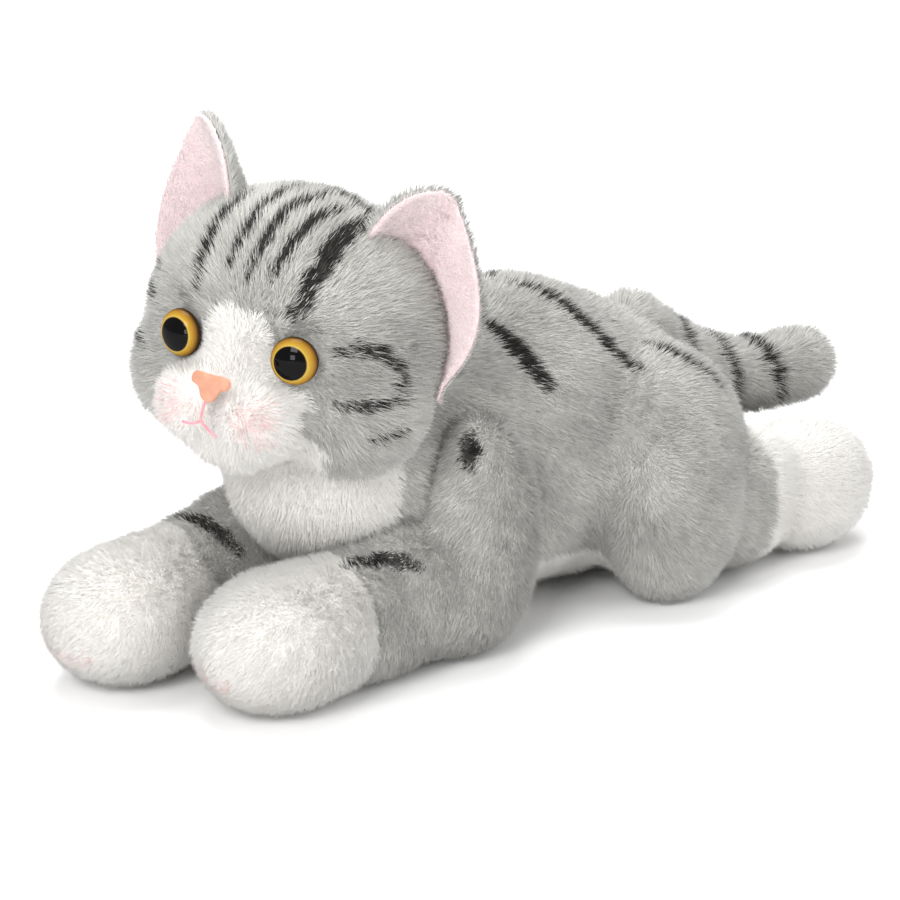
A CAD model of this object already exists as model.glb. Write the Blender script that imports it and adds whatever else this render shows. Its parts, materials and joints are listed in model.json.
"""Lying plush kitten: stuffed forms, plush pile, glass-like eyes, moulded nose and stitched mouth."""
import json
import logging
import math
from dataclasses import dataclass
from enum import Enum
from functools import cache

import bmesh
import bpy
import numpy as np
from bmesh.types import BMesh
from bpy.types import Material, Mesh, Node, NodeTree, Object
from mathutils import Matrix, Vector
from mathutils.bvhtree import BVHTree


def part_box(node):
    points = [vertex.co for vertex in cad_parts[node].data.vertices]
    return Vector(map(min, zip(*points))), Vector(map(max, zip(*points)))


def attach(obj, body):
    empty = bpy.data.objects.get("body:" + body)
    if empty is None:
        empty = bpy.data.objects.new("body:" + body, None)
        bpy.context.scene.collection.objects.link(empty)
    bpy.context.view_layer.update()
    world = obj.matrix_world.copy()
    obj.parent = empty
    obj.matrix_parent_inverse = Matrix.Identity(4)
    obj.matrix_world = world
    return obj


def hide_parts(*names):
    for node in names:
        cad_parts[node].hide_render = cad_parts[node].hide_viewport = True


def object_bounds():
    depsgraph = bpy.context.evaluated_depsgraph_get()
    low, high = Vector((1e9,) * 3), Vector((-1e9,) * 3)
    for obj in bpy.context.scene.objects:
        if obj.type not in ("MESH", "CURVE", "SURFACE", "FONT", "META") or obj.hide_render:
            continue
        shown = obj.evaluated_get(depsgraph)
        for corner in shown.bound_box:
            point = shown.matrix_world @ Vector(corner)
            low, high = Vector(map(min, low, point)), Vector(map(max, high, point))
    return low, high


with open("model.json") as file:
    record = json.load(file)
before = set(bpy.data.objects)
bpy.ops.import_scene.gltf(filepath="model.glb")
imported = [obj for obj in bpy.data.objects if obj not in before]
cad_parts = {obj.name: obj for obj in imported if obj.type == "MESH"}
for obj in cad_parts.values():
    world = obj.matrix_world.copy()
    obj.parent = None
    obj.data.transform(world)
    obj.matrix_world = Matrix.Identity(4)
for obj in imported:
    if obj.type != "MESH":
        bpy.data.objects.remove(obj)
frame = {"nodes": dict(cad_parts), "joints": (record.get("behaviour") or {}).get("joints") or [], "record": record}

Rows = np.ndarray                       # one row or one value for each point
Triple = tuple[float, float, float]
Dye = tuple[int, int, int]              # red, green and blue from 0 to 255
LOG = logging.getLogger("kitten")
MM = 0.001
CAD_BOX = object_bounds()
SEED = 20
VOXEL = 2.1 * MM
CLOTH_DEPTH = 2.6 * MM       # the cloth lies this far inside the tips of its pile
FLOOR_GAP = 0.35 * MM
MAX_STRANDS = 48000          # strands in one piece of pile, at four triangles each
MAIN_JOINTS = {joint["name"]: joint for joint in frame["joints"]}
SIDES = {"left": 1, "right": -1}


class Coat(Enum):
    """The plush cloths that the kitten is cut from."""

    GREY = "grey_plush"
    WHITE = "white_plush"
    PINK = "pink_plush"


# ---- small helpers -----------------------------------------------------------
def pivot(joint: str) -> Vector:
    """Returns a joint's place at rest."""
    return Vector(MAIN_JOINTS[joint]["pos_m"])


def middle(node: str) -> Vector:
    """Returns the middle of a CAD node's box."""
    low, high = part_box(node)
    return (low + high) / 2


def head_frame() -> Matrix:
    """Returns the head's own frame: its middle, and axes that follow the line of the eyes."""
    across = (middle("eye_left") - middle("eye_right")).normalized()
    back = Vector((0, 0, 1)).cross(across).normalized()
    up = across.cross(back)
    turn = Matrix((across, back, up)).transposed().to_4x4()
    return Matrix.Translation(pivot("head_turn")) @ turn


def ripple(points: Rows, wavelength: float, seed: int, waves: int = 7) -> Rows:
    """Returns smooth noise between about -1 and 1 at each point.

    Args:
        points: places, one row each.
        wavelength: size of the noise's hills in metres.
        seed: which noise.
        waves: how many plane waves are added.

    Returns:
        One value per point.
    """
    rng = np.random.default_rng(seed)
    total = np.zeros(len(points))
    for _ in range(waves):
        way = rng.normal(size=3)
        way /= np.linalg.norm(way)
        stretch = rng.uniform(0.7, 1.5)
        total += np.sin(points @ way * (2 * math.pi * stretch / wavelength) + rng.uniform(0, 2 * math.pi))
    return total / math.sqrt(waves)


def smooth(low: float, high: float, value: Rows) -> Rows:
    """Returns a soft step from 0 at low to 1 at high."""
    share = np.clip((value - low) / (high - low), 0.0, 1.0)
    return share * share * (3 - 2 * share)


def unit_rows(rows: Rows) -> Rows:
    """Returns each row at length one."""
    return rows / np.maximum(np.linalg.norm(rows, axis=1), 1e-12)[:, None]


def in_form(place: Matrix, points: Rows) -> Rows:
    """Returns points of the toy's frame in millimetres in a form's own frame, one row each."""
    back = np.array(place.inverted())
    return (points @ back[:3, :3].T + back[:3, 3]) / MM


def vertex_rows(mesh: Mesh, value: str) -> Rows:
    """Returns the "co" or the "normal" of a mesh's vertices, one row each."""
    flat = np.empty(len(mesh.vertices) * 3)
    mesh.vertices.foreach_get(value, flat)
    return flat.reshape(-1, 3)


def surface_tree(mesh: Mesh) -> BVHTree:
    """Returns a search tree over a mesh's faces."""
    return BVHTree.FromPolygons([v.co for v in mesh.vertices], [p.vertices for p in mesh.polygons])


def new_object(name: str, data: bpy.types.ID) -> Object:
    """Returns a new object in the scene that shows a mesh, a curve, a light or a camera."""
    item = bpy.data.objects.new(name, data)
    bpy.context.scene.collection.objects.link(item)
    return item


def from_bmesh(name: str, work: BMesh, settle: bool = False) -> Object:
    """Returns a new object made from a bmesh, which is freed.

    Args:
        name: the object's name.
        work: the bmesh.
        settle: puts corners and faces in a fixed order, which spinning and thickening don't keep.

    Returns:
        The object.
    """
    mesh = bpy.data.meshes.new(name)
    if settle:
        corners = sorted(work.verts, key=lambda vert: tuple(vert.co))
        rank = {vert: row for row, vert in enumerate(corners)}
        rings = [[rank[vert] for vert in face.verts] for face in work.faces]
        starts = [ring.index(min(ring)) for ring in rings]
        faces = sorted(ring[start:] + ring[:start] for ring, start in zip(rings, starts))
        mesh.from_pydata([vert.co for vert in corners], [], faces)
    else:
        work.to_mesh(mesh)
    work.free()
    mesh.shade_smooth()
    return new_object(name, mesh)


def apply_modifiers(item: Object) -> None:
    """Replaces an object's mesh by what its modifiers make of it."""
    graph = bpy.context.evaluated_depsgraph_get()
    mesh = bpy.data.meshes.new_from_object(item.evaluated_get(graph))
    item.modifiers.clear()
    item.data = mesh


# ---- finishes ----------------------------------------------------------------
def linear(colour: Dye) -> tuple[float, float, float, float]:
    """Returns a colour given in 0 to 255 steps as scene light."""
    shares = [c / 255 for c in colour]
    light = [s / 12.92 if s <= 0.04045 else ((s + 0.055) / 1.055) ** 2.4 for s in shares]
    return (light[0], light[1], light[2], 1.0)


def fresh_material(name: str) -> tuple[Material, Node]:
    """Returns a new node material and its Principled shader."""
    material = bpy.data.materials.new(name)
    material.use_nodes = True
    return material, material.node_tree.nodes["Principled BSDF"]


def set_inputs(node: Node, values: dict[str, object]) -> None:
    """Sets a node's inputs by their names."""
    for name, value in values.items():
        node.inputs[name].default_value = value


def colour_ramp(tree: NodeTree, stops: tuple) -> Node:
    """Returns a new colour ramp.

    Args:
        tree: the node tree it is made in.
        stops: pairs of a position and a colour in scene light.

    Returns:
        The ramp's node.
    """
    node = tree.nodes.new("ShaderNodeValToRGB")
    elements = node.color_ramp.elements
    while len(elements) < len(stops):
        elements.new(0.5)
    for element, (position, colour) in zip(elements, stops):
        element.position = position
        element.color = colour
    return node


def relief(material: Material, height: bpy.types.NodeSocket, strength: float, depth: float) -> None:
    """Shows a height as small relief.

    Args:
        material: the material that shows it.
        height: the socket that gives it.
        strength: the relief's strength.
        depth: its depth in metres.
    """
    tree = material.node_tree
    shader, bump = tree.nodes["Principled BSDF"], tree.nodes.new("ShaderNodeBump")
    set_inputs(bump, {"Strength": strength, "Distance": depth})
    tree.links.new(height, bump.inputs["Height"])
    tree.links.new(bump.outputs["Normal"], shader.inputs["Normal"])


@dataclass(frozen=True)
class PileTone:
    """One dye of pile: a soft, dull fibre."""

    name: str
    colour: Dye
    sheen: float = 0.25

    @cache
    def material(self) -> Material:
        """Returns the tone's material, made once."""
        material, shader = fresh_material("pile_" + self.name)
        set_inputs(shader, {"Base Color": linear(self.colour), "Roughness": 0.85,
                            "Specular IOR Level": 0.18, "Sheen Weight": self.sheen,
                            "Sheen Roughness": 0.45})
        return material


TONES = (
    PileTone("grey_frost", (214, 213, 208)),
    PileTone("grey_light", (197, 196, 191)),
    PileTone("grey_mid", (180, 179, 175)),
    PileTone("grey_shade", (162, 161, 157)),
    PileTone("grey_deep", (136, 135, 131)),
    PileTone("stripe_soft", (70, 69, 66), 0.1),
    PileTone("stripe_dark", (36, 35, 34), 0.06),
    PileTone("white_bright", (240, 238, 234)),
    PileTone("white_cream", (234, 231, 226)),
    PileTone("white_shade", (226, 223, 217)),
    PileTone("blush", (238, 208, 206)),
    PileTone("lining_light", (243, 228, 228)),
    PileTone("lining_rose", (238, 216, 218)),
)
TONE_ROW = {tone.name: row for row, tone in enumerate(TONES)}
COAT_TONES = {
    Coat.GREY: ("grey_deep", "grey_shade", "grey_mid", "grey_light", "grey_frost"),
    Coat.WHITE: ("white_shade", "white_cream", "white_bright", "white_bright"),
    Coat.PINK: ("lining_rose", "lining_light", "lining_light"),
}


@dataclass(frozen=True)
class PlushCloth:
    """The woven backing with the roots of its pile: colour from the piece, mottled and ribbed."""

    name: str = "plush_cloth"
    mottle_scale: float = 260.0
    pile_scale: float = 1500.0
    pile_depth: float = 0.35

    @cache
    def material(self) -> Material:
        """Returns the cloth's material, made once."""
        material, shader = fresh_material(self.name)
        tree = material.node_tree
        nodes, links = tree.nodes, tree.links
        coat = nodes.new("ShaderNodeAttribute")
        coat.attribute_name = "coat"
        group = nodes.new("ShaderNodeGroup")
        group.node_tree = pile_relief_group()
        set_inputs(group, {"Mottle Scale": self.mottle_scale, "Pile Scale": self.pile_scale})
        mix = nodes.new("ShaderNodeMix")
        mix.data_type = "RGBA"
        mix.blend_type = "MULTIPLY"
        mix.inputs["Factor"].default_value = 1.0
        links.new(coat.outputs["Color"], mix.inputs["A"])
        links.new(group.outputs["Shade"], mix.inputs["B"])
        links.new(mix.outputs["Result"], shader.inputs["Base Color"])
        relief(material, group.outputs["Height"], self.pile_depth, 0.6 * MM)
        set_inputs(shader, {"Roughness": 0.9, "Sheen Weight": 0.2, "Specular IOR Level": 0.15})
        return material


@cache
def pile_relief_group() -> NodeTree:
    """Returns the shared effect of mottled dye and the fine relief of cut pile."""
    tree = bpy.data.node_groups.new("pile_relief", "ShaderNodeTree")
    for name, way, kind in (("Mottle Scale", "INPUT", "Float"), ("Pile Scale", "INPUT", "Float"),
                            ("Shade", "OUTPUT", "Color"), ("Height", "OUTPUT", "Float")):
        tree.interface.new_socket(name, in_out=way, socket_type="NodeSocket" + kind)
    nodes, links = tree.nodes, tree.links
    entry, out = nodes.new("NodeGroupInput"), nodes.new("NodeGroupOutput")
    place = nodes.new("ShaderNodeTexCoord")
    mottle, fibre = nodes.new("ShaderNodeTexNoise"), nodes.new("ShaderNodeTexNoise")
    mottle.inputs["Detail"].default_value = 3.0
    fibre.inputs["Detail"].default_value = 2.0
    ramp = colour_ramp(tree, ((0.3, (0.86, 0.86, 0.86, 1)), (0.7, (1, 1, 1, 1))))
    for noise, name in ((mottle, "Mottle Scale"), (fibre, "Pile Scale")):
        links.new(place.outputs["Object"], noise.inputs["Vector"])
        links.new(entry.outputs[name], noise.inputs["Scale"])
    links.new(mottle.outputs["Fac"], ramp.inputs["Fac"])
    links.new(ramp.outputs["Color"], out.inputs["Shade"])
    links.new(fibre.outputs["Fac"], out.inputs["Height"])
    return tree


@dataclass(frozen=True)
class MouldedFinish:
    """Moulded plastic: a dye with a faint cloud, fine grain and a coat of gloss."""

    name: str
    colour: Dye
    shade: Dye
    roughness: float = 0.45
    coat: float = 0.0
    cloud_scale: float = 350.0
    grain_scale: float = 2500.0
    grain_depth: float = 0.15

    def material(self) -> Material:
        """Returns the finish's material."""
        material, shader = fresh_material(self.name)
        tree = material.node_tree
        place = tree.nodes.new("ShaderNodeTexCoord")
        cloud, grain = [tree.nodes.new("ShaderNodeTexNoise") for _ in range(2)]
        for noise, scale in ((cloud, self.cloud_scale), (grain, self.grain_scale)):
            noise.inputs["Scale"].default_value = scale
            tree.links.new(place.outputs["Object"], noise.inputs["Vector"])
        ramp = colour_ramp(tree, ((0.35, linear(self.shade)), (0.65, linear(self.colour))))
        tree.links.new(cloud.outputs["Fac"], ramp.inputs["Fac"])
        tree.links.new(ramp.outputs["Color"], shader.inputs["Base Color"])
        relief(material, grain.outputs["Fac"], self.grain_depth, 0.2 * MM)
        set_inputs(shader, {"Roughness": self.roughness, "Coat Weight": self.coat})
        return material


@dataclass(frozen=True)
class EyeFinish:
    """A glossy dome: black pupil, amber ring that darkens to its rim."""

    name: str = "eye_glass"
    stops: tuple = (
        (0.0, (7, 6, 6)), (0.690, (7, 6, 6)), (0.712, (84, 58, 14)), (0.735, (178, 152, 74)),
        (0.80, (168, 134, 48)), (0.91, (150, 110, 36)), (0.975, (112, 76, 24)), (1.0, (46, 32, 16)))

    @cache
    def material(self) -> Material:
        """Returns the eye's material, made once. It reads how far a point is from the pupil's middle."""
        material, shader = fresh_material(self.name)
        tree = material.node_tree
        reach = tree.nodes.new("ShaderNodeAttribute")
        reach.attribute_name = "reach"
        ramp = colour_ramp(tree, [(position, linear(colour)) for position, colour in self.stops])
        tree.links.new(reach.outputs["Fac"], ramp.inputs["Fac"])
        tree.links.new(ramp.outputs["Color"], shader.inputs["Base Color"])
        set_inputs(shader, {"Roughness": 0.3, "Specular IOR Level": 0.0, "Coat Weight": 0.22,
                            "Coat Roughness": 0.02})
        return material


# ---- stuffed forms -----------------------------------------------------------
@dataclass(frozen=True)
class Lobe:
    """One rounded bulge of a stuffed form, in millimetres in the form's own frame."""

    centre: Triple
    radii: Triple


@dataclass(frozen=True)
class Mark:
    """A painted mark on the pile, along points in millimetres in the form's own frame."""

    points: tuple
    half_width: float
    tone: str = "stripe_dark"
    strength: float = 1.0
    softness: float = 1.9


@dataclass(frozen=True)
class StrandHabit:
    """How the strands of a pile differ: sizes in millimetres, pulls as shares of the outward way."""

    half_width: float = 0.17
    widths: tuple[float, float] = (0.8, 1.25)
    lengths: tuple[float, float] = (0.72, 1.12)
    root_depth: float = 0.35
    tuft_size: float = 7.5
    tuft_pull: float = 0.16
    stray_pull: float = 0.17
    shortest_share: float = 0.05
    floor_gap: float = 0.2
    ring_angles: Triple = (0.0, 2.094, 4.189)
    upright_shading: float = 0.8
    round_shading: float = 0.35


@dataclass(frozen=True)
class DyeHabit:
    """How a dye varies over a cloth: amounts as shares of its range of tones, sizes in metres."""

    centre: float = 0.56
    cloud: float = 0.10
    cloud_size: float = 0.034
    fleck: float = 0.05
    fleck_size: float = 0.008
    chance: float = 0.13
    soft_stripe_share: float = 0.22
    root_shade: float = 0.9


STRAND = StrandHabit()
DYE = DyeHabit()
MARK_STEP = 1.2              # between the laid points of a mark, in millimetres
COVER_DEPTH = 9.0            # pile this deep inside another form is left out, in millimetres


@dataclass
class StuffedForm:
    """A sewn and stuffed part of the kitten: one closed cloth form and the pile of each panel."""

    name: str
    body: str
    panels: tuple[str, ...]
    hidden: tuple[str, ...]
    lobes: tuple[Lobe, ...]
    marks: tuple[Mark, ...]
    place: Matrix
    pile: float = 3.9
    density: float = 3.0
    smoothing: int = 10
    swell: float = 0.6
    seam_depth: float = 0.8
    fill: float = 0.85
    lean: float = 0.85
    cloth: Object = None
    skin: BVHTree = None

    # -- shape --
    def build(self) -> None:
        """Makes the closed cloth form from its lobes."""
        work = bmesh.new()
        for lobe in self.lobes:
            radii = [r * MM - CLOTH_DEPTH + self.swell * MM for r in lobe.radii]
            size = Matrix.Diagonal((*radii, 1.0))
            spot = Matrix.Translation(Vector(lobe.centre) * MM)
            bmesh.ops.create_icosphere(work, subdivisions=4, radius=1.0, matrix=self.place @ spot @ size)
        self.cloth = from_bmesh(self.name + "_plush", work)
        remesh = self.cloth.modifiers.new("weld", "REMESH")
        remesh.mode = "VOXEL"
        remesh.voxel_size = VOXEL
        apply_modifiers(self.cloth)
        work = bmesh.new()
        work.from_mesh(self.cloth.data)
        for _ in range(self.smoothing):
            bmesh.ops.smooth_vert(work, verts=work.verts, factor=0.5, use_axis_x=True, use_axis_y=True,
                                  use_axis_z=True)
        self.shape(work)
        for vert in work.verts:
            vert.co.z = max(vert.co.z, FLOOR_GAP)
        bmesh.ops.recalc_face_normals(work, faces=work.faces)
        work.to_mesh(self.cloth.data)
        work.free()
        self.cloth.data.shade_smooth()

    def shape(self, work: BMesh) -> None:
        """Presses details into the form. Sub-classes do this."""

    # -- panels --
    def panel_rows(self) -> Rows:
        """Returns for each face of the cloth which CAD panel it lies on, the nearest one."""
        trees = [surface_tree(frame["nodes"][node].data) for node in self.panels]
        rows = np.zeros(len(self.cloth.data.polygons), int)
        for face in self.cloth.data.polygons:
            outside = face.center + face.normal * CLOTH_DEPTH
            gaps = [tree.find_nearest(outside)[3] for tree in trees]
            rows[face.index] = gaps.index(min(gaps))
        return rows

    def press_seams(self, rows: Rows) -> None:
        """Pulls the cloth in along the lines where two panels meet."""
        mesh = self.cloth.data
        seen: dict[int, int] = {}
        seam = set()
        for face in mesh.polygons:
            for corner in face.vertices:
                if seen.setdefault(corner, rows[face.index]) != rows[face.index]:
                    seam.add(corner)
        shift = {corner: mesh.vertices[corner].normal * (-self.seam_depth * MM) for corner in seam}
        for corner, move in shift.items():
            mesh.vertices[corner].co += move
        mesh.update()

    # -- colour --
    def mark_shares(self, points: Rows) -> list[tuple[Mark, Rows]]:
        """Returns how strongly each mark covers each point.

        Args:
            points: places in the toy's frame.

        Returns:
            Pairs of a mark and one share from 0 to 1 per point.
        """
        local = in_form(self.place, points)
        wobble = ripple(local, 7.0, SEED + 5)
        shares = []
        for mark in self.marks:
            line = self.laid_line(mark)
            nearest = np.full(len(local), 1e9)
            along = np.zeros(len(local))
            for row, spot in enumerate(line):
                gap = np.linalg.norm(local - spot, axis=1)
                closer = gap < nearest
                nearest[closer] = gap[closer]
                along[closer] = row / max(len(line) - 1, 1)
            swelling = np.sin(math.pi * np.clip(along, 0.02, 0.98)) ** 0.5
            taper, fade = (0.45 + 0.55 * swelling, 0.6 + 0.4 * swelling) if len(line) > 1 else (1.0, 1.0)
            width = mark.half_width * taper * (1 + 0.18 * wobble)
            edge = smooth(width - mark.softness * 0.5, width + mark.softness, nearest)
            shares.append((mark, mark.strength * (1 - edge) * fade))
        return shares

    def laid_line(self, mark: Mark) -> Rows:
        """Returns close points along a mark, laid on the cloth, in the form's own frame."""
        if self.skin is None:
            self.skin = surface_tree(self.cloth.data)
        corners = [Vector(point) for point in mark.points]
        spots = [corners[0]]
        for start, end in zip(corners, corners[1:]):
            steps = max(int((end - start).length / MARK_STEP), 1)
            spots += [start.lerp(end, (step + 1) / steps) for step in range(steps)]
        back = self.place.inverted()
        laid = [back @ self.skin.find_nearest(self.place @ (spot * MM))[0] / MM for spot in spots]
        return np.array([tuple(spot) for spot in laid])

    def tones_at(self, points: Rows, coats: Rows, rng: np.random.Generator) -> Rows:
        """Returns which tone a strand at each point has.

        Args:
            points: places in the toy's frame.
            coats: index into the list of coats per point.
            rng: the source of chance.

        Returns:
            One row of TONES per point.
        """
        shade = (DYE.centre + DYE.cloud * ripple(points, DYE.cloud_size, SEED + 1)
                 + DYE.fleck * ripple(points, DYE.fleck_size, SEED + 2)
                 + rng.normal(0, DYE.chance, len(points)))
        rows = np.zeros(len(points), int)
        for index, coat in enumerate(Coat):
            names = COAT_TONES[coat]
            pick = np.clip((shade * len(names)).astype(int), 0, len(names) - 1)
            table = np.array([TONE_ROW[name] for name in names])
            chosen = coats == index
            rows[chosen] = table[pick[chosen]]
        for mark, share in self.mark_shares(points):
            hit = rng.random(len(points)) < share
            painted = np.full(len(points), TONE_ROW[mark.tone])
            if mark.tone == "stripe_dark":
                soft = rng.random(len(points)) < DYE.soft_stripe_share
                painted[soft] = TONE_ROW["stripe_soft"]
            rows[hit] = painted[hit]
        return rows

    def paint_cloth(self, coats: Rows) -> None:
        """Gives the cloth its colour attribute: the average of the pile that stands on it."""
        mesh = self.cloth.data
        corner_coat = np.zeros(len(mesh.vertices), int)
        for face in mesh.polygons:
            for corner in face.vertices:
                corner_coat[corner] = coats[face.index]
        base = {Coat.GREY: "grey_mid", Coat.WHITE: "white_cream", Coat.PINK: "lining_rose"}
        table = np.array([linear(TONES[TONE_ROW[base[coat]]].colour) for coat in Coat])
        colours = table[corner_coat]
        for mark, share in self.mark_shares(vertex_rows(mesh, "co")):
            tone = np.array(linear(TONES[TONE_ROW[mark.tone]].colour))
            colours = colours * (1 - share[:, None]) + tone * share[:, None]
        colours[:, :3] *= DYE.root_shade
        coat = mesh.attributes.new("coat", "FLOAT_COLOR", "POINT")
        coat.data.foreach_set("color", colours.astype(np.float32).ravel())

    # -- pile --
    def comb(self, points: Rows) -> Rows:
        """Returns the way the pile is brushed at each point. Sub-classes change it."""
        return np.tile((0.0, 0.6, -0.5), (len(points), 1))

    def length_share(self, points: Rows) -> Rows:
        """Returns the share of the full pile length at each point; 0 leaves the strand out."""
        return np.ones(len(points))

    def grow_pile(self, rows: Rows, coats: Rows) -> None:
        """Grows the pile of every panel as a piece of its own."""
        mesh = self.cloth.data
        mesh.calc_loop_triangles()
        count = len(mesh.loop_triangles)
        corners = np.empty(count * 3, np.int32)
        owner = np.empty(count, np.int32)
        mesh.loop_triangles.foreach_get("vertices", corners)
        mesh.loop_triangles.foreach_get("polygon_index", owner)
        places, normals = vertex_rows(mesh, "co"), vertex_rows(mesh, "normal")
        corners = corners.reshape(-1, 3)
        legs = places[corners]
        area = np.linalg.norm(np.cross(legs[:, 1] - legs[:, 0], legs[:, 2] - legs[:, 0]), axis=1) / 2
        for index, node in enumerate(self.panels):
            mine = np.flatnonzero(rows[owner] == index)
            if not len(mine):
                continue
            rng = np.random.default_rng(SEED + sum(map(ord, node)))
            amount = int(area[mine].sum() / MM ** 2 * self.density)
            if amount > MAX_STRANDS:
                LOG.warning("%s: pile thinned from %d", node, amount)
                amount = MAX_STRANDS
            pick = mine[rng.choice(len(mine), amount, p=area[mine] / area[mine].sum())]
            mix = rng.random((amount, 2))
            flip = mix.sum(1) > 1
            mix[flip] = 1 - mix[flip]
            mix = np.column_stack([1 - mix.sum(1), mix])
            roots = np.einsum("nk,nkc->nc", mix, places[corners[pick]])
            outward = unit_rows(np.einsum("nk,nkc->nc", mix, normals[corners[pick]]))
            self.strands(node, roots, outward, coats[owner[pick]], rng)

    def strands(self, node: str, roots: Rows, outward: Rows, coats: Rows,
                rng: np.random.Generator) -> None:
        """Makes one piece of pile, a thin closed spike for each strand.

        Args:
            node: the CAD panel that the pile stands on.
            roots: where each strand starts.
            outward: the cloth's normal there.
            coats: index of each strand's cloth.
            rng: the source of chance.
        """
        share = self.length_share(roots)
        brushed = self.comb(roots)
        brushed = unit_rows(brushed - outward * np.sum(brushed * outward, axis=1)[:, None])
        tuft = np.column_stack([ripple(roots, STRAND.tuft_size / 1000, SEED + 11 + k) for k in range(3)])
        loose = rng.normal(0, 1, (len(roots), 3))
        way = unit_rows(outward + brushed * self.lean + tuft * STRAND.tuft_pull
                        + loose * STRAND.stray_pull)
        reach = self.pile * MM * share * rng.uniform(*STRAND.lengths, len(roots))
        tips = roots + way * reach[:, None]
        keep = ((share > STRAND.shortest_share) & (tips[:, 2] > STRAND.floor_gap * MM)
                & ~self.covered(roots, outward))
        roots, tips, way, outward, coats = (rows[keep] for rows in (roots, tips, way, outward, coats))
        total = len(roots)
        tones = self.tones_at(roots, coats, rng)
        side = unit_rows(np.cross(way, rng.normal(size=(total, 3))))
        other = np.cross(way, side)
        thick = STRAND.half_width * MM * rng.uniform(*STRAND.widths, total)[:, None]
        base = roots - outward * STRAND.root_depth * MM
        ring = [base + thick * (math.cos(a) * side + math.sin(a) * other) for a in STRAND.ring_angles]
        verts = np.stack([*ring, tips], axis=1).reshape(-1, 3)
        first = (np.arange(total) * 4)[:, None]
        faces = np.array([[0, 1, 3], [1, 2, 3], [2, 0, 3], [2, 1, 0]])
        loops = (first[:, None, :] + faces[None]).reshape(-1).astype(np.int32)
        mesh = bpy.data.meshes.new(node + "_pile")
        mesh.vertices.add(len(verts))
        mesh.vertices.foreach_set("co", verts.astype(np.float32).ravel())
        mesh.loops.add(len(loops))
        mesh.loops.foreach_set("vertex_index", loops)
        mesh.polygons.add(total * 4)
        mesh.polygons.foreach_set("loop_start", np.arange(total * 4, dtype=np.int32) * 3)
        used, slots = np.unique(tones, return_inverse=True)
        mesh.polygons.foreach_set("material_index", np.repeat(slots, 4).astype(np.int32))
        for row in used:
            mesh.materials.append(TONES[row].material())
        mesh.update(calc_edges=True)
        mesh.shade_smooth()
        soft = unit_rows(outward * STRAND.upright_shading + way * 0.2)
        rounded = [soft + STRAND.round_shading * (r - base) / thick for r in ring]
        spread = unit_rows(np.stack([*rounded, soft], axis=1).reshape(-1, 3))
        mesh.normals_split_custom_set_from_vertices(spread.astype(np.float32))
        item = new_object(node + "_pile", mesh)
        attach(item, self.body)
        LOG.info("%s: %d strands", item.name, total)

    def covered(self, points: Rows, outward: Rows) -> Rows:
        """Returns which points lie deep inside another form, where no pile is needed."""
        deep = np.zeros(len(points), bool)
        for form in ALL_FORMS:
            if form is self:
                continue
            local = in_form(form.place, points)
            for lobe in form.lobes:
                radii = np.array(lobe.radii) - COVER_DEPTH
                deep |= np.sum(((local - lobe.centre) / np.maximum(radii, 1.0)) ** 2, axis=1) < 1
        return deep

    def dress(self) -> None:
        """Paints the cloth, grows the pile and ties everything to the frame."""
        rows = self.panel_rows()
        self.press_seams(rows)
        order = list(Coat)
        coat_of_panel = np.array([order.index(Coat(slot_of(node))) for node in self.panels])
        coats = coat_of_panel[rows]
        self.paint_cloth(coats)
        self.cloth.data.materials.clear()
        self.cloth.data.materials.append(PlushCloth().material())
        self.grow_pile(rows, coats)
        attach(self.cloth, self.body)
        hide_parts(*self.panels, *self.hidden)
        LOG.info("%s: %d faces of cloth", self.cloth.name, len(self.cloth.data.polygons))


def slot_of(node: str) -> str:
    """Returns the record's material slot of a CAD node."""
    for part in frame["record"]["subparts"]:
        if part["node"] == node:
            return part["material_slot"]
    raise ValueError(node)


ALL_FORMS: list[StuffedForm] = []


@dataclass
class Head(StuffedForm):
    """The head: skull, cheeks, two muzzle puffs and the chin."""

    socket_depth: float = 1.6
    socket_width: float = 8.0
    socket_reach: float = 14.0
    lip_depth: float = 1.5
    lip_width: float = 3.0

    def eye_places(self) -> list[Vector]:
        """Returns the middles of both eyes in the toy's frame."""
        return [eye_seat(node)[0] for node in ("eye_left", "eye_right")]

    def shape(self, work: BMesh) -> None:
        """Sinks the eye sockets and the line under the nose."""
        sockets = self.eye_places()
        back = self.place.inverted()
        for vert in work.verts:
            for socket in sockets:
                gap = (vert.co - socket).length / MM
                if gap < self.socket_reach:
                    dip = math.exp(-(gap / self.socket_width) ** 2)
                    vert.co -= vert.normal * (self.socket_depth * MM * dip)
            local = back @ vert.co / MM
            if local.y < -40 and local.z < -6:
                dip = math.exp(-(local.x / self.lip_width) ** 2)
                vert.co -= vert.normal * (self.lip_depth * MM * dip)

    def comb(self, points: Rows) -> Rows:
        """The pile is brushed away from the nose, over the brow and down the cheeks."""
        nose = np.array(self.place @ Vector((0, -60 * MM, -6 * MM)))
        return unit_rows(points - nose) + np.array((0.0, 0.25, -0.25))

    def length_share(self, points: Rows) -> Rows:
        """The pile is short on the muzzle and leaves the eyes and the nose free."""
        local = in_form(self.place, points)
        muzzle = np.exp(-(((local - (0, -50, -12)) / (24, 26, 18)) ** 2).sum(1))
        share = 1.0 - 0.42 * muzzle
        for socket in self.eye_places():
            gap = np.linalg.norm(points - np.array(socket), axis=1) / MM
            share *= smooth(6.9, 11.5, gap) * 0.75 + 0.25 * (gap > 7.1)
        gap = np.linalg.norm((local - (0, -52, -5)) / (6.6, 8, 5.2), axis=1)
        share *= smooth(0.75, 1.3, gap)
        for mark in MOUTH_LINES:
            line = np.array(mark, float)
            for start, end in zip(line, line[1:]):
                way = end - start
                along = np.clip((local - start) @ way / (way @ way), 0, 1)
                gap = np.linalg.norm(local - start - along[:, None] * way, axis=1)
                share *= 0.35 + 0.65 * smooth(1.0, 4.5, gap)
        return share


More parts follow.
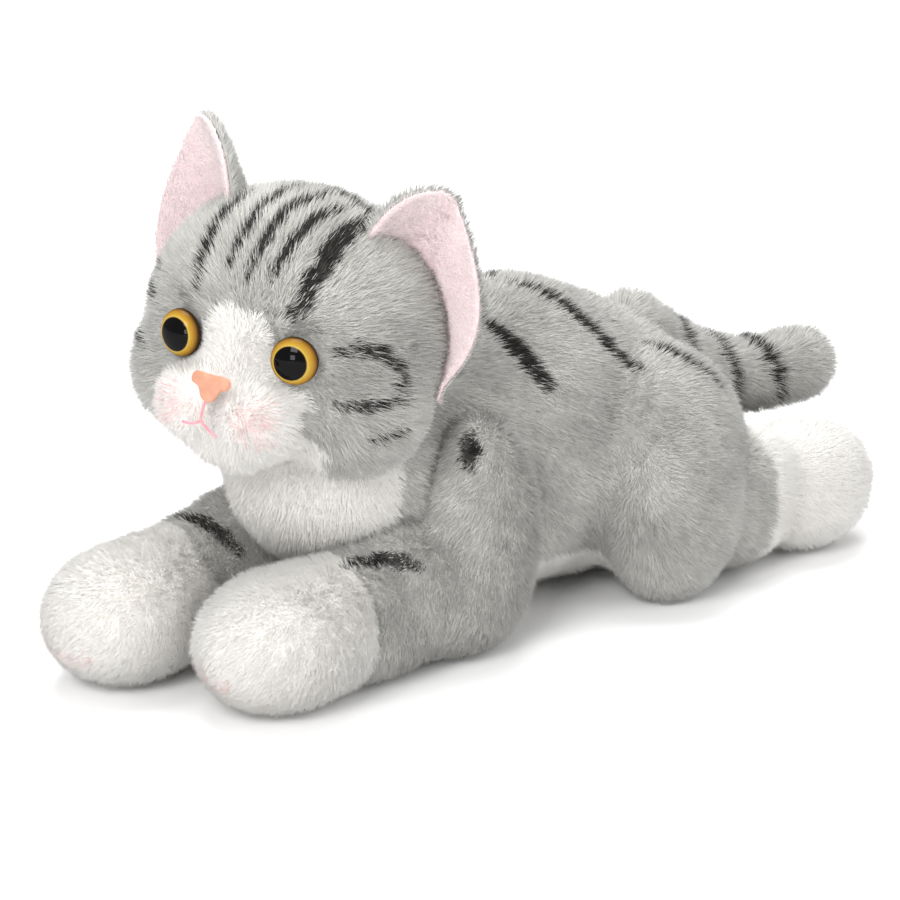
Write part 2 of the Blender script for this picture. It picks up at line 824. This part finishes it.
@dataclass
class Torso(StuffedForm):
    """Chest, breast, waist and rump as one sewn form."""

    spine_depth: float = 0.9
    spine_width: float = 2.2
    spine_above: float = 60.0

    def shape(self, work: BMesh) -> None:
        """Presses the spine seam into the back."""
        for vert in work.verts:
            if vert.co.z > self.spine_above * MM:
                dip = math.exp(-(vert.co.x / (self.spine_width * MM)) ** 2)
                vert.co -= vert.normal * (self.spine_depth * MM * dip)

    def comb(self, points: Rows) -> Rows:
        """The pile is brushed back and down the flanks, and straight down on the bib."""
        level = np.full(len(points), 0.55)
        way = np.column_stack([points[:, 0] * 6.0, level, -level])
        front = 1 - smooth(-0.085, -0.060, points[:, 1])
        return way * (1 - front[:, None]) + np.array((0.0, -0.1, -1.0)) * front[:, None]


@dataclass
class Leg(StuffedForm):
    """A leg, brushed towards its paw."""

    tip: Vector = None

    def comb(self, points: Rows) -> Rows:
        """The pile is brushed towards the paw and down."""
        return unit_rows(np.array(self.tip) - points) * 0.9 + np.array((0.0, 0.0, -0.45))


@dataclass
class Tail(StuffedForm):
    """The tail, brushed towards its tip."""

    def comb(self, points: Rows) -> Rows:
        """The pile is brushed along the tail."""
        return np.tile((0.1, 1.0, -0.35), (len(points), 1))


# ---- ears --------------------------------------------------------------------
@dataclass
class Ear(StuffedForm):
    """An ear: a leaf-shaped cup of two cloths, grey behind and pink inside."""

    side: int = 1
    front: tuple = (25.5, -7.0, 37.0)
    rear: tuple = (51.5, 5.0, -10.0)
    top: tuple = (47.5, 5.0, 55.0)
    bulge: float = 17.0
    layer: float = 0.0
    spread: float = 1.0
    flare: float = 7.0
    faces_back: bool = True
    steps: int = 34
    thickness: float = 1.0
    foot_tuck: float = 0.13
    head_shell: tuple = (48.0, 40.5, 43.5)

    def point(self, across: float, along: float, depth: float) -> Vector:
        """Returns a point of the cup.

        Args:
            across: from -1 at the front rim to 1 at the rear rim.
            along: from 0 at the foot to 1 at the tip.
            depth: how far behind the cup's face, in millimetres.

        Returns:
            The point in the toy's frame.
        """
        front, rear, top = [Vector((self.side * x, y, z)) for x, y, z in (self.front, self.rear, self.top)]
        back = (rear - front).cross(top - front).normalized() * -self.side
        foot = (front + rear) / 2
        left = max(1.0 - along, 0.0)
        leaf = left ** 0.55 * (1.0 + 0.10 * math.sin(math.pi * along)) * self.spread
        rim = front.lerp(rear, 0.5 + 0.5 * across * leaf) - foot
        lift = (top - foot) * (along * (1.0 + 0.02 * (self.spread - 1.0)))
        cup = self.bulge * (1 - across * across) * left ** 1.1
        flare = self.flare * max(across, 0.0) ** 1.5 * math.sin(math.pi * min(max(along, 0.0), 1.0))
        lift += Vector((self.side * flare, 0, 0))
        return self.place @ ((foot + rim + lift + back * (cup + depth)) * MM)

    def build(self) -> None:
        """Makes the cloth as a bent grid with a thickness."""
        work = bmesh.new()
        bmesh.ops.create_grid(work, x_segments=self.steps, y_segments=self.steps, size=1.0)
        for vert in work.verts:
            along = (vert.co.y + 1) / 2 * (1 + self.foot_tuck) - self.foot_tuck
            vert.co = self.point(vert.co.x, along, self.layer)
        bmesh.ops.remove_doubles(work, verts=work.verts, dist=0.15 * MM)
        bmesh.ops.recalc_face_normals(work, faces=work.faces)
        bmesh.ops.solidify(work, geom=work.faces[:], thickness=self.thickness * MM)
        bmesh.ops.recalc_face_normals(work, faces=work.faces)
        self.cloth = from_bmesh(self.name + "_plush", work, settle=True)

    def press_seams(self, rows: Rows) -> None:
        """An ear has no seam across its cloth."""

    def covered(self, points: Rows, outward: Rows) -> Rows:
        """No pile grows where the foot is sewn into the head, or between the two cloths."""
        hidden = np.sum((in_form(self.place, points) / self.head_shell) ** 2, axis=1) < 1
        rearward = np.array(self.point(0, 0.5, 1.0) - self.point(0, 0.5, 0.0)) / MM
        facing = outward @ rearward
        return hidden | (facing < -0.25 if self.faces_back else facing > 0.25)

    def comb(self, points: Rows) -> Rows:
        """The pile is brushed towards the tip."""
        tip = np.array(self.point(0, 1.05, 0))
        return unit_rows(tip - points)


# ---- face fittings -----------------------------------------------------------
MOUTH_LINES = (
    ((0.0, -55.0, -10.0), (-0.3, -56.6, -13.0), (0.0, -57.0, -16.0)),
    ((0.0, -57.0, -16.0), (-3.2, -56.8, -18.3), (-7.4, -55.3, -18.6)),
    ((0.0, -57.0, -16.0), (2.6, -56.6, -18.8), (5.2, -55.6, -20.6)),
)


SHANK_REACH = 5.0            # the deepest part of a CAD eye belongs to its shank, in millimetres
DOME_DEPTH = 4.6             # from a CAD eye's tip back to its rim, in millimetres


def fit_to_head(item: Object, finish: MouldedFinish | EyeFinish, node: str) -> None:
    """Gives a fitting its finish and sets it on the head in place of its CAD node.

    Args:
        item: the finished fitting.
        finish: what it is made of.
        node: the CAD node that it stands for.
    """
    item.data.materials.append(finish.material())
    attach(item, "head")
    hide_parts(node)
    LOG.info("%s: %d faces", item.name, len(item.data.polygons))


def eye_seat(node: str) -> tuple[Vector, Vector]:
    """Returns the middle of an eye's rim and the way that the eye looks.

    Args:
        node: the CAD eye.

    Returns:
        A point and a direction in the toy's frame.
    """
    centre = pivot("head_turn")
    spots = [v.co for v in frame["nodes"][node].data.vertices]
    far = max(spots, key=lambda co: (co - centre).length)
    deep = min(spots, key=lambda co: (co - centre).length)
    shank = [co for co in spots if (co - deep).length < SHANK_REACH * MM]
    look = (far - sum(shank, Vector()) / len(shank)).normalized()
    return far - look * DOME_DEPTH * MM, look


@dataclass
class Eye:
    """A domed safety eye."""

    node: str
    radius: float = 7.6
    height: float = 4.7
    rim: float = 1.2
    pupil_shift: float = 1.3
    forward: float = 0.95
    steps: int = 20

    def build(self) -> None:
        """Spins the dome's profile about the way it looks and marks the reach from the pupil's middle."""
        seat, look = eye_seat(self.node)
        ahead = (head_frame().to_3x3() @ Vector((0, -1, 0))).normalized()
        look = (look + ahead * self.forward).normalized()
        work = bmesh.new()
        profile = [Vector((0, 0, -self.rim)), Vector((self.radius * 0.96, 0, -self.rim)),
                   Vector((self.radius, 0, -self.rim / 2))]
        for angle in (math.pi / 2 * k / self.steps for k in range(self.steps + 1)):
            profile.append(Vector((self.radius * math.cos(angle), 0, self.height * math.sin(angle))))
        verts = [work.verts.new(p * MM) for p in profile]
        edges = [work.edges.new(pair) for pair in zip(verts, verts[1:])]
        bmesh.ops.spin(work, geom=verts + edges, cent=(0, 0, 0), axis=(0, 0, 1), angle=2 * math.pi,
                       steps=64, use_merge=True)
        bmesh.ops.remove_doubles(work, verts=work.verts, dist=0.01 * MM)
        bmesh.ops.recalc_face_normals(work, faces=work.faces)
        inwards = look.cross(Vector((0, 0, 1))).normalized()
        inwards = inwards if (pivot("head_turn") - seat).dot(inwards) > 0 else -inwards
        turn = look.to_track_quat("Z", "Y").to_matrix().to_4x4()
        aside = Vector((turn.inverted() @ inwards)[:2])
        item = from_bmesh(self.node + "_dome", work, settle=True)
        shares = []
        for vert in item.data.vertices:
            flat = Vector(vert.co[:2]) / MM
            reach = flat.length / self.radius
            shifted = (flat - aside * self.pupil_shift * (1 - reach)).length / self.radius
            shares.append(min(shifted if vert.co.z > 0 else 1.0, 1.0))
        item.data.attributes.new("reach", "FLOAT", "POINT").data.foreach_set("value", shares)
        item.data.transform(Matrix.Translation(seat) @ turn)
        fit_to_head(item, EyeFinish(), self.node)


@dataclass
class Nose:
    """The moulded nose: wide wings above, a rounded drop below."""

    place: Matrix
    centre: tuple = (1.6, -53.9, -4.4)
    half_outline: tuple = ((0.0, 2.9), (3.4, 3.3), (6.3, 3.1), (7.0, 1.6), (6.8, -0.6), (4.4, -1.0),
                           (3.1, -2.4), (2.6, -4.8), (0.0, -6.2))
    layers: tuple = ((-1.5, 1.0), (-0.9, 0.94), (-0.5, 0.72), (-0.2, 0.4))
    lean: float = -14.0
    finish: MouldedFinish = MouldedFinish("nose_peach", (200, 144, 118), (188, 132, 106), 0.6)

    def build(self) -> None:
        """Extrudes the outline forwards, domes and rounds it."""
        work = bmesh.new()
        right = [Vector((x, 0, z)) for x, z in self.half_outline]
        left = [Vector((-x, 0, z)) for x, z in reversed(self.half_outline[1:-1])]
        face = work.faces.new([work.verts.new(p * MM) for p in right + left])
        for forward, scale in self.layers:
            grown = bmesh.ops.extrude_face_region(work, geom=[face])
            face = [g for g in grown["geom"] if isinstance(g, bmesh.types.BMFace)][0]
            centre = face.calc_center_median()
            for vert in face.verts:
                vert.co = centre + (vert.co - centre) * scale
                vert.co.y += forward * MM
        bmesh.ops.recalc_face_normals(work, faces=work.faces)
        item = from_bmesh("nose_moulding", work, settle=True)
        rounding = item.modifiers.new("round", "SUBSURF")
        rounding.levels = rounding.render_levels = 2
        apply_modifiers(item)
        lean = Matrix.Rotation(math.radians(self.lean), 4, "X")
        item.data.transform(self.place @ Matrix.Translation(Vector(self.centre) * MM) @ lean)
        item.data.shade_smooth()
        fit_to_head(item, self.finish, "nose")


@dataclass
class Mouth:
    """Embroidered mouth of three threads."""

    place: Matrix
    thread: float = 0.42
    finish: MouldedFinish = MouldedFinish("mouth_thread_pink", (240, 150, 160), (230, 132, 144), 0.7,
                                          grain_scale=4000.0, grain_depth=0.5)

    def build(self) -> None:
        """Lays a round thread along each line of the mouth."""
        curve = bpy.data.curves.new("mouth_lines", "CURVE")
        curve.dimensions = "3D"
        curve.bevel_depth = self.thread * MM
        curve.bevel_resolution = 3
        curve.use_fill_caps = True
        for line in MOUTH_LINES:
            spline = curve.splines.new("NURBS")
            spline.points.add(len(line) - 1)
            for point, place in zip(spline.points, line):
                point.co = (*(self.place @ (Vector(place) * MM)), 1.0)
            spline.order_u = 3
            spline.use_endpoint_u = True
        lines = new_object("mouth_curve", curve)
        bpy.context.view_layer.update()
        graph = bpy.context.evaluated_depsgraph_get()
        mesh = bpy.data.meshes.new_from_object(lines.evaluated_get(graph))
        bpy.data.objects.remove(lines)
        mesh.materials.clear()
        mesh.shade_smooth()
        fit_to_head(new_object("mouth_thread", mesh), self.finish, "mouth_stitching")


# ---- the kitten's forms ------------------------------------------------------
def make_head(place: Matrix) -> Head:
    """Returns the head."""
    marks = (
        Mark(((-18, -36, 18), (-20, -29, 30), (-21, -17, 38), (-18, -5, 43)), 1.5),
        Mark(((-8, -34, 27), (-8, -26, 36), (-8, -11, 44), (-4, 3, 46)), 1.3),
        Mark(((0, -36, 25), (0, -27, 35), (1, -13, 44), (6, 1, 46)), 1.4),
        Mark(((8, -35, 27), (9, -26, 37), (11, -13, 43), (14, -4, 44)), 1.5),
        Mark(((18, -37, 17), (19, -33, 24), (21, -21, 36), (21, -11, 41), (24, 3, 41)), 2.9),
        Mark(((-3, 12, 45), (9, 7, 46), (17, 5, 44), (24, 3, 41)), 2.2, strength=0.85),
        Mark(((33, -33, 7), (38, -29, 9), (44, -22, 6), (47, -17, 1), (47, -15, -8)), 1.9, strength=0.8),
        Mark(((33, -32, -10), (40, -26, -10), (47, -17, -9)), 1.4, strength=0.75),
        Mark(((38, -23, -19), (44, -15, -18)), 1.2, strength=0.7),
        Mark(((-37, -28, 7), (-42, -23, 9), (-46, -16, 6), (-49, -11, 1)), 1.9, strength=0.8),
        Mark(((-37, -27, -10), (-44, -20, -10), (-49, -11, -9)), 1.4, strength=0.75),
        Mark(((-40, -24, 15), (-43, -19, 17)), 1.6, strength=0.8),
        Mark(((17, -39, 12), (25, -36, 14)), 2.2, "grey_deep", 0.75),
        Mark(((-20, -37, 12), (-24, -34, 15)), 2.2, "grey_deep", 0.75),
        Mark(((-18, 35, 28), (3, 38, 26), (22, 33, 28)), 2.0, strength=0.7),
        Mark(((-21, 39, 10), (3, 43, 8), (27, 35, 10)), 2.0, strength=0.6),
        Mark(((15, -51, -15),), 6.0, "blush", 0.5, 5.0),
        Mark(((-15, -51, -15),), 6.0, "blush", 0.5, 5.0),
    )
    return Head("head", "head",
                ("face_panel", "forehead_gusset", "cheek_panel_left", "cheek_panel_right",
                 "back_of_head_panel"),
                ("head_stuffing", "eye_washer_left", "eye_washer_right", "neck_wad", "neck_thread"),
                (Lobe((0, 0, 0), (51, 43, 46)), Lobe((0, -29, -17), (27, 24, 19)),
                 Lobe((11, -37, -17), (16, 19, 15)), Lobe((-11, -37, -17), (16, 19, 15)),
                 Lobe((0, -33, -27), (16, 18, 13)),
                 Lobe((27, -9, -17), (25, 27, 24)), Lobe((-27, -9, -17), (25, 27, 24))),
                marks, place, pile=4.3, density=3.1)


def make_torso() -> Torso:
    """Returns the torso. Its frame stands on the floor under the belly's pouch."""
    spot = middle("belly_bean_pouch")
    place = Matrix.Translation((0, spot.y, 0))
    marks = []
    stripes = ((3.0, ((9, -23, 103), (16, -20, 104), (25, -16, 98), (36, -10, 86))),
               (2.3, ((5, 0, 115), (14, 8, 112), (22, 14, 105), (28, 24, 93), (33, 32, 80))),
               (1.3, ((26, 42, 85), (33, 46, 76), (38, 52, 66))))
    for side in SIDES.values():
        marks += [Mark(tuple((side * x, y, z) for x, y, z in line), width) for width, line in stripes]
    marks.append(Mark(((-9, -23, 105), (0, -22, 106), (9, -23, 105)), 1.6, strength=0.6))
    return Torso("torso", "torso",
                 ("back_panel_left", "back_panel_right", "belly_panel", "bib_panel"),
                 ("torso_stuffing", "belly_bean_pouch", "closing_stitches"),
                 (Lobe((0, -47.5, 47), (39, 45, 48)), Lobe((0, -71.5, 68), (36, 41, 40)),
                  Lobe((0, -32, 66), (39, 44, 46)),
                  Lobe((0, 2.5, 59), (42, 50, 56)), Lobe((0, 45, 48.5), (41, 38, 48)),
                  Lobe((0, 24, 54), (41, 42, 53)),
                  Lobe((29, 45, 46), (33, 36, 43)), Lobe((-29, 45, 46), (33, 36, 43))),
                 tuple(marks), place, density=2.6)


def leg_frame(kind: str, word: str) -> tuple[Matrix, Vector, Vector]:
    """Returns where a leg stands and where its paw or foot lies.

    Args:
        kind: "front_leg" or "hind_leg".
        word: "left" or "right".

    Returns:
        The leg's frame, on the floor under its hinge; the middle of its pellet pouch; and the way from the
        frame to that middle, in millimetres.
    """
    hinge = pivot(f"{kind}_{word}_swing")
    foot = middle(f"{kind}_bean_pouch_{word}")
    return Matrix.Translation((hinge.x, hinge.y, 0)), foot, (foot - Vector((hinge.x, hinge.y, 0))) / MM


def toe_marks(x: float, y: float, low: float, strength: float, spacing: int, out: int) -> list[Mark]:
    """Returns three short blush marks side by side at the toes.

    Args:
        x: place of the middle toe across the leg.
        y: place of the toes along the leg, at their lower end.
        low: height of their lower end.
        strength: how strongly they are dyed.
        spacing: from toe to toe.
        out: 1 where the upper ends lie further back, -1 where they lie further forward.

    Returns:
        The marks.
    """
    return [Mark(((x + k, y, low), (x + k, y + out, low + 7)), 2.4, "blush", strength, 2.6)
            for k in (-spacing, 0, spacing)]


def make_front_leg(word: str) -> Leg:
    """Returns a front leg."""
    side = SIDES[word]
    place, paw, to_paw = leg_frame("front_leg", word)
    half = to_paw / 2
    wrist = {"left": Mark(((2, -54, 46), (7, -44, 47), (13, -34, 42)), 2.6, strength=0.85),
             "right": Mark(((-2, -50, 47), (6, -49, 47), (13, -46, 43), (19, -42, 36)), 2.6, strength=0.9)}
    marks = [Mark(((side * 9, -8, 80), (side * 13, -12, 71)), 2.7), wrist[word],
             # an undyed place above the wrist
             Mark(((-side * 4, -42, 47), (side * 4, -52, 47), (side * 12, -56, 41)), 2.0, strength=0.0)]
    marks += toe_marks(to_paw.x - side * 4, to_paw.y - 30, 10, 0.5, 9, 1)
    lobes = (Lobe((0, 0, 43), (23.5, 23.5, 42)), Lobe((0, -6, 24.5), (21.5, 29, 25.5)),
             Lobe((half.x, half.y - 3, 24), (20.5, 42, 24.5)),
             Lobe((half.x * 0.8, half.y + 12, 27), (20.5, 30, 26)),
             Lobe((to_paw.x * 0.86, to_paw.y * 0.86, 23), (24, 27, 23.5)),
             Lobe((to_paw.x, to_paw.y, 22.5), (26.3, 31, 23.5)))
    return Leg(f"front_leg_{word}", f"front_leg_{word}", (f"paw_{word}", f"arm_sleeve_{word}"),
               (f"front_leg_stuffing_{word}", f"front_leg_bean_pouch_{word}"),
               lobes, tuple(marks), place, tip=paw + Vector((0, -0.05, 0)))


def make_hind_leg(word: str) -> Leg:
    """Returns a hind leg."""
    place, foot, to_foot = leg_frame("hind_leg", word)
    marks = toe_marks(to_foot.x, to_foot.y + 27, 12, 0.4, 8, -1)
    lobes = (Lobe((0, 0, 36), (23, 28, 38)), Lobe((-SIDES[word] * 1.5, 33.5, 28.5), (18.5, 31, 26)),
             Lobe((to_foot.x, to_foot.y, 24), (24, 29, 25)))
    return Leg(f"hind_leg_{word}", f"hind_leg_{word}",
               (f"thigh_panel_{word}", f"shank_sleeve_{word}", f"foot_{word}"),
               (f"hind_leg_stuffing_{word}", f"hind_leg_bean_pouch_{word}"),
               lobes, tuple(marks), place, tip=foot + Vector((0, 0.05, 0)))


def make_tail() -> Tail:
    """Returns the tail, whose frame is at its root."""
    place = Matrix.Translation(pivot("tail_lift"))
    line = ((0, 0, 0), (0, 14, -10), (1, 31, -20), (3.5, 49, -26.5), (7, 66, -28), (10, 78.5, -27))
    lobes = tuple(Lobe(point, (14, 15 if row else 14, 14)) for row, point in enumerate(line))
    between = tuple(Lobe(tuple((a + b) / 2 for a, b in zip(p, q)), (14, 14, 14))
                    for p, q in zip(line, line[1:]))
    rings = []
    for y, z, x, width in ((20, -14, 0.5, 1.8), (40, -23.5, 2, 1.8), (59, -27.5, 5, 2.6)):
        rings.append(Mark(tuple((x + 14 * math.cos(a), y - 3 * math.sin(a), z + 14 * math.sin(a))
                                for a in (math.radians(d) for d in range(-30, 211, 30))), width))
    rings.append(Mark(((6, 84, -17), (12, 88, -16)), 4.5, strength=0.5))
    return Tail("tail", "tail", ("tail_sleeve",), ("tail_stuffing",), lobes + between, tuple(rings), place,
                pile=5.2, smoothing=6)


def make_ears(place: Matrix) -> list[Ear]:
    """Returns both ears, a grey cup and a pink lining each."""
    ears = []
    outer = {"pile": 3.8, "density": 5.0, "layer": 1.3, "spread": 1.04, "lean": 0.7}
    lining = {"pile": 1.6, "density": 5.5, "layer": 0.2, "spread": 0.99, "lean": 1.2, "faces_back": False}
    tips = {"left": (49.5, 5.0, 51.0), "right": (46.5, 5.0, 57.0)}
    for word, side in SIDES.items():
        for name, sizes in ((f"ear_outer_{word}", outer), (f"ear_lining_{word}", lining)):
            ears.append(Ear(name, f"ear_{word}", (name,), (), (), (), place, side=side, top=tips[word],
                            **sizes))
    return ears


# ---- room --------------------------------------------------------------------
def build_floor() -> None:
    """Lays a large pale floor."""
    work = bmesh.new()
    bmesh.ops.create_grid(work, x_segments=2, y_segments=2, size=1.6)
    floor = from_bmesh("floor", work)
    material, shader = fresh_material("floor_paper")
    set_inputs(shader, {"Base Color": (0.93, 0.93, 0.93, 1), "Roughness": 0.9, "Specular IOR Level": 0.1})
    floor.data.materials.append(material)


@dataclass(frozen=True)
class SoftPanel:
    """A square light panel that looks at the kitten: place and side in metres, power in watts."""

    name: str
    spot: Triple
    size: float
    power: float

    def hang(self, target: Vector) -> None:
        """Hangs the panel and turns it to the target."""
        data = bpy.data.lights.new(self.name, "AREA")
        data.size = self.size
        data.energy = self.power
        lamp = new_object(self.name, data)
        lamp.location = self.spot
        lamp.rotation_euler = (target - Vector(self.spot)).to_track_quat("-Z", "Y").to_euler()


def build_lights() -> None:
    """Hangs four soft panels, lights the room evenly and shows it white."""
    for panel in (SoftPanel("key", (0.75, -1.5, 1.35), 0.8, 25.0),
                  SoftPanel("fill", (1.6, 0.4, 1.0), 1.2, 9.0),
                  SoftPanel("top", (-0.4, 0.3, 1.8), 1.2, 30.0),
                  SoftPanel("front", (0.60, -1.35, 0.30), 0.34, 4.0)):
        panel.hang(Vector((0, 0, 0.06)))
    world = bpy.data.worlds.new("studio")
    bpy.context.scene.world = world
    world.use_nodes = True
    nodes, links = world.node_tree.nodes, world.node_tree.links
    room, wall = nodes["Background"], nodes.new("ShaderNodeBackground")
    set_inputs(room, {"Color": (1, 1, 1, 1), "Strength": 0.6})
    set_inputs(wall, {"Color": (1, 1, 1, 1), "Strength": 1.05})
    mix, seen = nodes.new("ShaderNodeMixShader"), nodes.new("ShaderNodeLightPath")
    links.new(seen.outputs["Is Camera Ray"], mix.inputs[0])
    links.new(room.outputs["Background"], mix.inputs[1])
    links.new(wall.outputs["Background"], mix.inputs[2])
    links.new(mix.outputs["Shader"], nodes["World Output"].inputs["Surface"])
    bpy.context.scene.view_settings.view_transform = "Standard"


@dataclass(frozen=True)
class Shot:
    """Where the camera stands: angles in degrees, distance in metres, aim and lens in millimetres."""

    azimuth: float = 48.0
    elevation: float = 19.0
    distance: float = 1.05
    lens: float = 123.5
    aim_forward: float = 14.5
    aim_height: float = 57.0

    def take(self) -> None:
        """Sets the scene's camera."""
        azimuth, elevation = math.radians(self.azimuth), math.radians(self.elevation)
        back = Vector((math.sin(azimuth) * math.cos(elevation), -math.cos(azimuth) * math.cos(elevation),
                       math.sin(elevation)))
        low, high = CAD_BOX
        target = Vector(((low.x + high.x) / 2, (low.y + high.y) / 2 - self.aim_forward * MM,
                         low.z + self.aim_height * MM))
        data = bpy.data.cameras.new("camera")
        data.sensor_width = 36.0
        data.lens = self.lens
        camera = new_object("camera", data)
        camera.location = target + back * self.distance
        camera.rotation_euler = (-back).to_track_quat("-Z", "Y").to_euler()
        bpy.context.scene.camera = camera


def main() -> None:
    """Builds the room, the kitten's forms and its face."""
    logging.basicConfig(level=logging.INFO, format="%(message)s")
    build_floor()
    build_lights()
    Shot().take()
    place = head_frame()
    forms = [make_head(place), make_torso(), make_front_leg("left"), make_front_leg("right"),
             make_hind_leg("left"), make_hind_leg("right"), make_tail()]
    ALL_FORMS.extend(forms)
    for form in forms + make_ears(place):
        form.build()
        form.dress()
    for node in ("eye_left", "eye_right"):
        Eye(node).build()
    Nose(place).build()
    Mouth(place).build()


if __name__ == "__main__":
    main()
